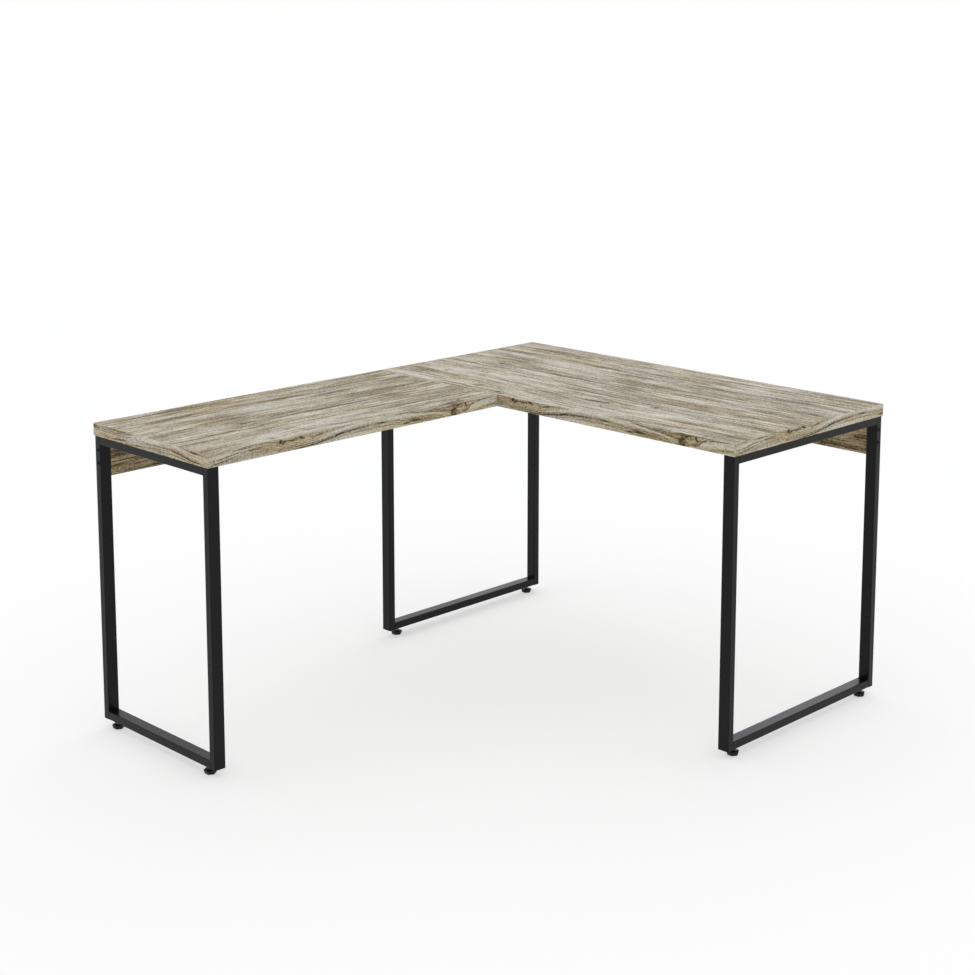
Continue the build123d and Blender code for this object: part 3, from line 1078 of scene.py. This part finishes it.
def hexagonal_head(centre, low, top, flats, sizes):
    """The moulded head: a hexagon that widens upwards, hollow below, with a round boss on top."""
    mesh = bmesh.new()
    high, corner_high = top - sizes.boss_height, flats / math.sqrt(3)
    corner_low, foot_of_boss = sizes.head_taper * corner_high, high - sizes.sink
    bmesh.ops.create_cone(
        mesh,
        cap_ends=True,
        segments=6,
        radius1=corner_low,
        radius2=corner_high,
        depth=high - low,
        matrix=Matrix.Translation((0, 0, (low + high) / 2)) @ Matrix.Rotation(math.pi / 6, 4, "Z"),
    )
    bmesh.ops.bevel(
        mesh,
        geom=list(mesh.edges),
        offset=sizes.head_round,
        offset_type="OFFSET",
        affect="EDGES",
        segments=3,
        profile=0.5,
        material=-1,
    )
    # Straight after a bevel, the order of the faces made next can differ from run to run. On a copy
    # of the bevelled mesh it stays the same
    bevelled = mesh
    mesh = bevelled.copy()
    bevelled.free()
    under = min(mesh.faces, key=lambda face: face.calc_center_median().z)
    bmesh.ops.inset_individual(mesh, faces=[under], thickness=sizes.rim_width)
    bmesh.ops.translate(mesh, vec=(0, 0, sizes.rim_depth), verts=under.verts)
    bmesh.ops.create_cone(
        mesh,
        cap_ends=True,
        segments=40,
        radius1=sizes.boss_radius,
        radius2=sizes.boss_radius,
        depth=top - foot_of_boss,
        matrix=Matrix.Translation((0, 0, (top + foot_of_boss) / 2)),
    )
    half_way = (high + top) / 2
    rim = [edge for edge in mesh.edges if all(vert.co.z > half_way for vert in edge.verts)]
    bmesh.ops.bevel(
        mesh,
        geom=rim,
        offset=sizes.boss_round,
        offset_type="OFFSET",
        affect="EDGES",
        segments=3,
        profile=0.5,
        material=-1,
    )
    bmesh.ops.translate(mesh, vec=centre, verts=mesh.verts)
    return mesh


class MakeFeet(bpy.types.Operator):
    """Make the threaded studs and moulded heads of the levelling feet, and finish their glides"""

    bl_idname = "corner_desk.make_feet"
    bl_label = "Levelling feet"

    def execute(self, context):
        finish, sizes = context.scene.desk_finish, context.scene.foot_sizes
        plastic = new_material("foot_plastic", moulded(finish.plastic))
        plating = plated(finish.zinc, finish.zinc_dull, smoothest=0.22, roughest=0.36)
        steel = new_material("stud_zinc", plating)
        for foot in FEET:
            low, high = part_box(f"{foot}_stud")
            middle = (low + high) / 2
            centre = (middle.x, middle.y, 0)
            stud = threaded_stud(centre, low.z, high.z, (high.x - low.x) / 2, sizes)
            add_piece(f"{foot}_threaded_stud", stud, f"{foot}_screw", steel, f"{foot}_stud")
            low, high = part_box(f"{foot}_head")
            head = hexagonal_head(centre, low.z, high.z, high.y - low.y, sizes)
            add_piece(f"{foot}_moulded_head", head, f"{foot}_screw", plastic, f"{foot}_head")
        paint_nodes([f"{foot}_glide" for foot in FEET], plastic)
        return {"FINISHED"}


def rays_that_look(tree):
    """A Signal: 1 for camera, glossy and transmission rays, 0 for the rest."""
    path = new_node(tree, "ShaderNodeLightPath", {}, "Is Camera Ray")
    outputs = path.output.node.outputs
    glossy, through = Signal(outputs["Is Glossy Ray"]), Signal(outputs["Is Transmission Ray"])
    return path.maths("MAXIMUM", path.maths("MAXIMUM", path, glossy), through)


class SetStage(bpy.types.Operator):
    """Make the floor, the soft light and the camera"""

    bl_idname = "corner_desk.set_stage"
    bl_label = "Studio"

    def execute(self, context):
        studio = context.scene.studio
        self.make_floor(studio)
        self.make_light(context.scene, studio)
        self.make_camera(context.scene, studio)
        context.scene.view_settings.view_transform = "Standard"
        return {"FINISHED"}

    def make_floor(self, studio):
        """A pale floor that looks white where nothing shades it."""

        def pale(place):
            look = rays_that_look(place.output.id_data)
            matt = place.node("ShaderNodeBsdfDiffuse", {"Color": grey(studio.floor_tone)})
            seen = place.node("ShaderNodeBsdfDiffuse", {"Color": grey(studio.floor_seen_tone)})
            glow = place.node("ShaderNodeEmission", {"Color": grey(1.0), "Strength": studio.floor_glow})
            both = place.node("ShaderNodeAddShader", {0: seen, 1: glow})
            return place.node("ShaderNodeMixShader", {0: look, 1: matt, 2: both})

        mesh = bmesh.new()
        bmesh.ops.create_grid(mesh, x_segments=1, y_segments=1, size=studio.floor_size / 2)
        data = bpy.data.meshes.new("floor")
        mesh.to_mesh(data)
        mesh.free()
        data.materials.append(new_material("pale_floor", pale))
        floor = bpy.data.objects.new("floor", data)
        bpy.context.scene.collection.objects.link(floor)

    def make_light(self, scene, studio):
        """Surroundings that look white and light the desk a little less, and two broad lamps."""
        world = bpy.data.worlds.new("studio_surroundings")
        world.use_nodes = True
        tree = world.node_tree
        tree.nodes.clear()
        look = rays_that_look(tree)
        strength = look * (1 - studio.sky) + studio.sky
        back = look.node("ShaderNodeBackground", {"Color": grey(1.0), "Strength": strength})
        out = tree.nodes.new("ShaderNodeOutputWorld")
        tree.links.new(back.output, out.inputs["Surface"])
        scene.world = world
        # Name, strength, the way it shines, and colour
        lamps = (
            ("key_lamp", studio.key, (0.45, -0.40, -1.0), (1.0, 1.0, 1.0)),
            ("low_lamp", studio.low, (0.36, -0.93, -0.42), (0.84, 0.90, 1.0)),
        )
        for name, strength, toward, colour in lamps:
            data = bpy.data.lights.new(name, "SUN")
            data.energy = strength
            data.color = colour
            data.angle = studio.spread
            lamp = bpy.data.objects.new(name, data)
            lamp.rotation_euler = Vector(toward).to_track_quat("-Z", "Y").to_euler()
            scene.collection.objects.link(lamp)

    def make_camera(self, scene, studio):
        """The camera, tilted down, with its lens shifted down so that the desk is in view."""
        data = bpy.data.cameras.new("camera")
        data.sensor_width = 36.0
        data.lens = studio.lens
        data.shift_y = studio.camera_shift
        data.clip_end = 200.0
        camera = bpy.data.objects.new("camera", data)
        camera.location = studio.camera_place
        camera.rotation_euler = Euler((math.pi / 2 - studio.camera_tilt, 0, studio.camera_turn))
        scene.collection.objects.link(camera)
        scene.camera = camera


STEPS = (FinishTops, FinishAprons, FinishFrames, FinishFittings, MakeFeet, SetStage)
GROUPS = {"desk_finish": DeskFinish, "foot_sizes": FootSizes, "studio": Studio}


class DeskPanel(bpy.types.Panel):
    """Lists the desk's pieces and their settings"""

    bl_idname = "VIEW3D_PT_corner_desk"
    bl_label = "Corner Desk"
    bl_space_type = "VIEW_3D"
    bl_region_type = "UI"
    bl_category = "Corner Desk"

    def draw(self, context):
        for step in STEPS:
            self.layout.operator(step.bl_idname)
        for name, group in GROUPS.items():
            settings = getattr(context.scene, name)
            for prop in group.__annotations__:
                self.layout.prop(settings, prop)


def register():
    for cls in (*GROUPS.values(), *STEPS, DeskPanel):
        bpy.utils.register_class(cls)
    for name, group in GROUPS.items():
        setattr(bpy.types.Scene, name, PointerProperty(type=group))


def unregister():
    for name in GROUPS:
        delattr(bpy.types.Scene, name)
    for cls in (DeskPanel, *STEPS, *GROUPS.values()):
        bpy.utils.unregister_class(cls)


def main():
    """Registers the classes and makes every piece."""
    register()
    bpy.ops.corner_desk.finish_tops()
    bpy.ops.corner_desk.finish_aprons()
    bpy.ops.corner_desk.finish_frames()
    bpy.ops.corner_desk.finish_fittings()
    bpy.ops.corner_desk.make_feet()
    bpy.ops.corner_desk.set_stage()


if __name__ == "__main__":
    main()
